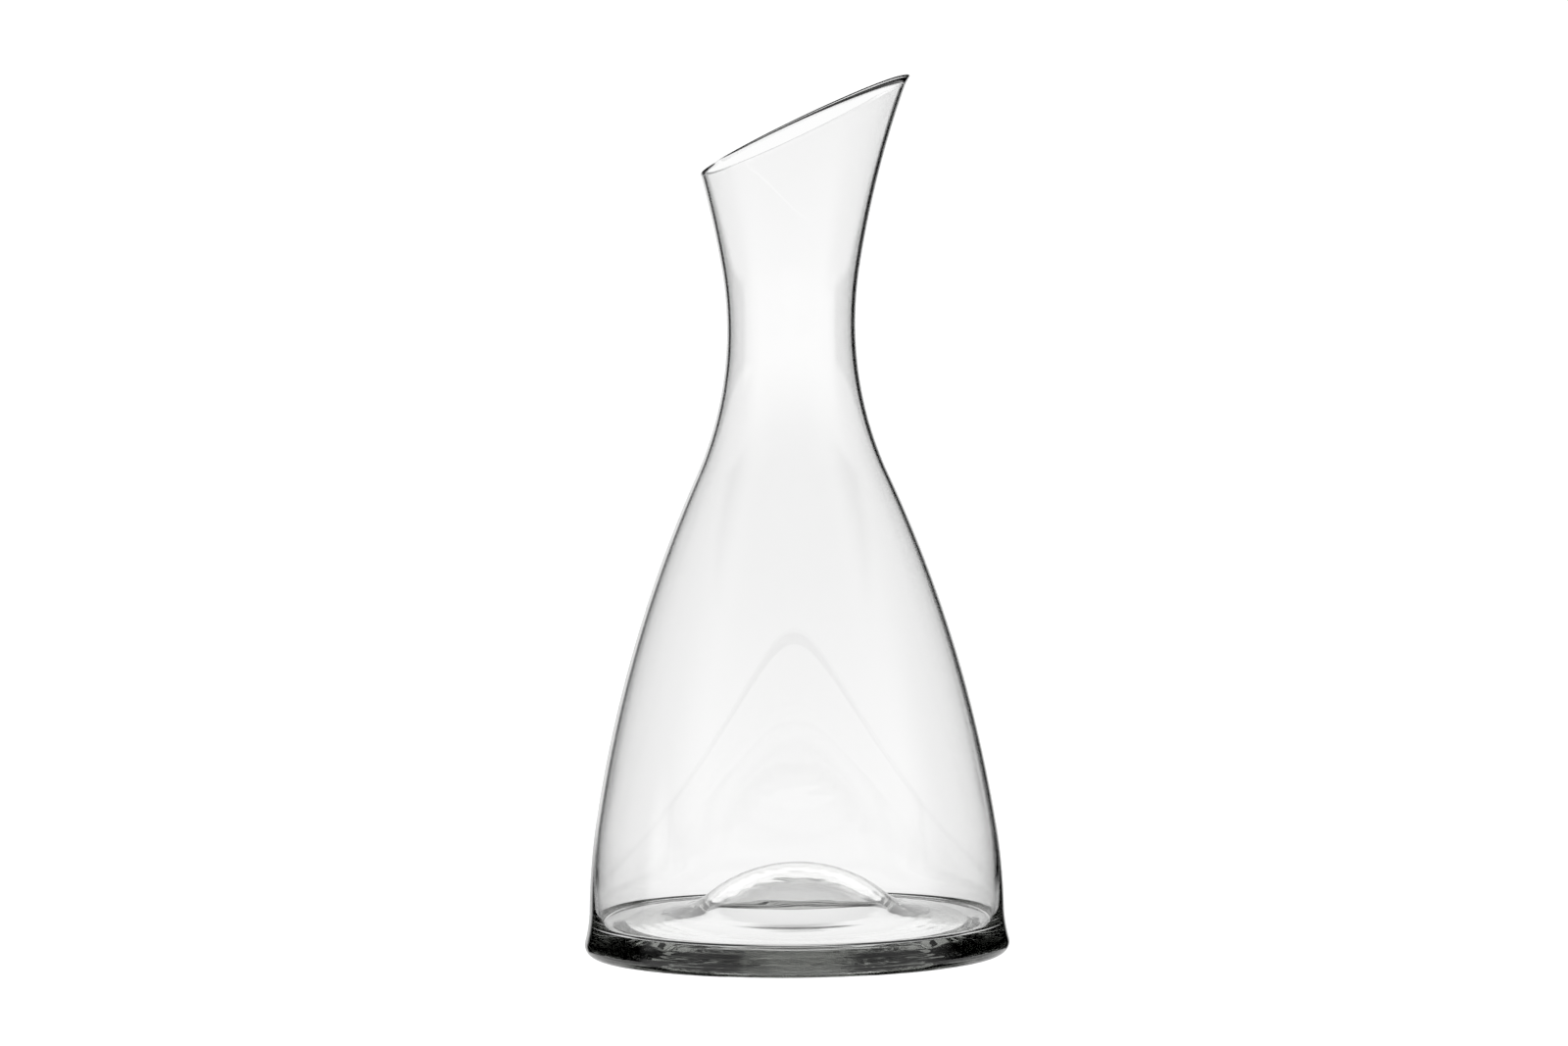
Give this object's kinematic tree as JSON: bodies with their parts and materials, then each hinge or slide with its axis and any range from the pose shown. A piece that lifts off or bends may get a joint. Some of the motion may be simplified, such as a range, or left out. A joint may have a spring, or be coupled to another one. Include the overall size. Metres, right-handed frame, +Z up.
{
  "type": "wine decanter",
  "caption": "Clear glass wine decanter with a broad heavy foot, domed base, narrow throat and a flared mouth cut at a slant for pouring.",
  "frame": {"origin": "centre of the foot, on the surface that it rests on", "axes": "+Z up along the axis of the vessel, +X towards the high, pouring side of the mouth"},
  "size_m": [0.1394, 0.1394, 0.287],
  "materials": {
    "clear_glass": "smooth blown glass, fire-polished"
  },
  "bodies": {
    "root": {"heavy_base": "clear_glass", "punt": "clear_glass", "lower_body": "clear_glass", "upper_body": "clear_glass", "neck": "clear_glass", "pouring_mouth": "clear_glass"}
  },
  "joints": []
}
